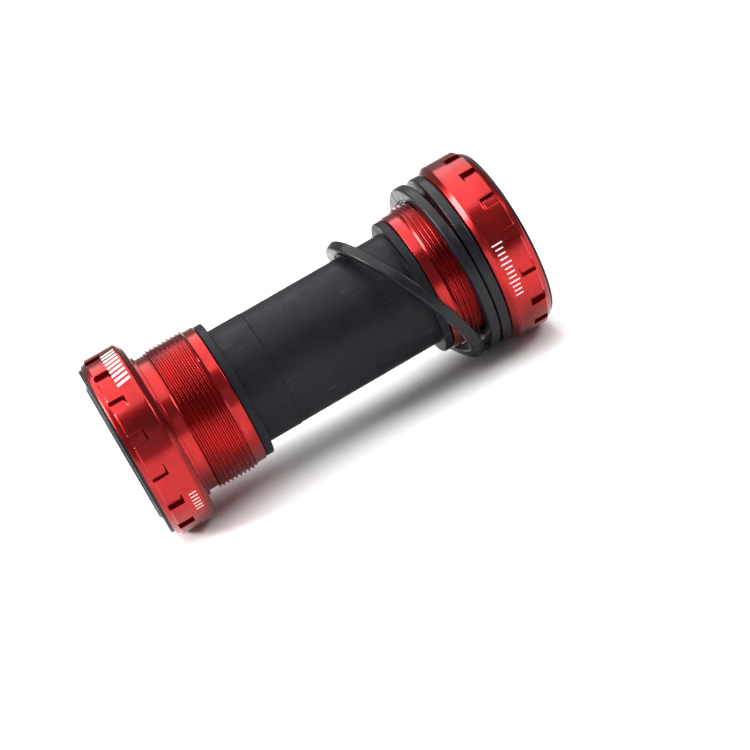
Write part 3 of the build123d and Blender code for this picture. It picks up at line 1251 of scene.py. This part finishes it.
@dataclass
class Studio:
    """Pale floor, soft lights and the camera."""

    camera_rise: float = 21.2  # degrees above the horizon, seen square to the spindle
    camera_swing: float = 7.476  # degrees towards the non-drive end
    camera_roll: float = 30.28
    camera_distance: float = 441.74  # mm from the lens to the part's middle, along the view
    aside: float = -12.93  # mm, where the part's middle is in the view
    above: float = 7.545
    lens_mm: float = 95.01
    sensor_mm: float = 36.0

    def build(self) -> None:
        """Make the floor, lights, world and camera."""
        self.camera()
        self.floor()
        self.lights()
        bpy.context.scene.view_settings.view_transform = "Standard"

    def camera(self) -> None:
        """Stand the camera in front of the part, a little above it."""
        rise, swing, roll = (math.radians(a) for a in (self.camera_rise, self.camera_swing, self.camera_roll))
        toward = Vector((-math.cos(rise), 0, math.sin(rise)))
        upright = Vector((math.sin(rise), 0, math.cos(rise)))
        view = -SPINDLE * math.sin(swing) - toward * math.cos(swing)
        level = view.cross(upright)
        right = level * math.cos(roll) - upright * math.sin(roll)
        up = level * math.sin(roll) + upright * math.cos(roll)
        place = -(right * self.aside + up * self.above + view * self.camera_distance) * MM
        data = bpy.data.cameras.new("camera")
        data.lens = self.lens_mm
        data.sensor_width = self.sensor_mm
        data.clip_start = 0.01
        camera = bpy.data.objects.new("camera", data)
        camera.matrix_world = Matrix.Translation(place) @ Matrix((right, up, -view)).transposed().to_4x4()
        bpy.context.scene.collection.objects.link(camera)
        bpy.context.scene.camera = camera

    @staticmethod
    def floor() -> None:
        """Lay a pale floor under the flanges."""
        mesh = bmesh.new()
        bmesh.ops.create_grid(mesh, x_segments=1, y_segments=1, size=6.0)
        bmesh.ops.translate(mesh, vec=(0, 0, CAD_BOX[0][2] - 0.0002), verts=mesh.verts)
        data = bpy.data.meshes.new("floor")
        mesh.to_mesh(data)
        mesh.free()
        s = Shader("matt_white_paper")
        fibre = s.noise(s.place(Lay.EVEN), 1.0, 3.0)
        s.wire("Base Color", s.blend(s.span(fibre, 0.0, 1.0), "#f4f4f4", "#f8f8f8"))
        s.wire("Roughness", 0.9)
        s.wire("Specular IOR Level", 0.2)
        data.materials.append(s.material)
        floor = bpy.data.objects.new("floor", data)
        bpy.context.scene.collection.objects.link(floor)

    @staticmethod
    def softbox(name: str, place: Vector, target: Vector, size: tuple[float, float], watts: float) -> None:
        """Hang one rectangular softbox.

        Args:
            name: the light's name.
            place: its centre, m.
            target: the point it faces, m.
            size: width and height, m.
            watts: its power.
        """
        data = bpy.data.lights.new(name, "AREA")
        data.shape = "RECTANGLE"
        data.size, data.size_y = size
        data.energy = watts
        light = bpy.data.objects.new(name, data)
        light.location = place
        light.rotation_euler = (target - place).to_track_quat("-Z", "Y").to_euler()
        bpy.context.scene.collection.objects.link(light)

    def lights(self) -> None:
        """Hang the softboxes and set a dim room."""
        middle = Vector((0, 0, 0))
        self.softbox("overhead_softbox", Vector((0.25, 0.1, 1.4)), middle, (2.2, 2.4), 48)
        self.softbox("left_softbox", Vector((0.22, 1.0, 0.55)), middle, (0.45, 0.45), 17)
        self.softbox("right_softbox", Vector((-0.46, -0.71, 0.69)), middle, (0.4, 0.4), 5)
        self.softbox("front_card", Vector((-1.0, 0.3, 0.3)), middle, (0.9, 0.5), 0.5)
        world = bpy.data.worlds.new("room")
        world.use_nodes = True
        background = world.node_tree.nodes["Background"]
        background.inputs["Color"].default_value = linear("#ffffff")
        background.inputs["Strength"].default_value = 0.3
        bpy.context.scene.world = world


def main() -> None:
    """Build every piece in order."""
    logging.basicConfig(level=logging.INFO, format="%(message)s")
    Studio().build()
    palette = Palette()
    notch_turns = {Side.DRIVE: 5.0, Side.NON_DRIVE: 0.0}
    for side in Side:
        Cup(side, palette, notch_turns[side]).build()
        Bearing(side, palette).build()
        DustCap(side, palette).build()
    Sleeve(palette).build()
    Spacer("outer_spacer", palette).build()
    Spacer("inner_spacer", palette, lean=-3.0, turn=-98.8).build()
    Spacer("loose_spacer", palette, lean=25.0, turn=21.2, inner_r=18.3).build()


if __name__ == "__main__":
    main()
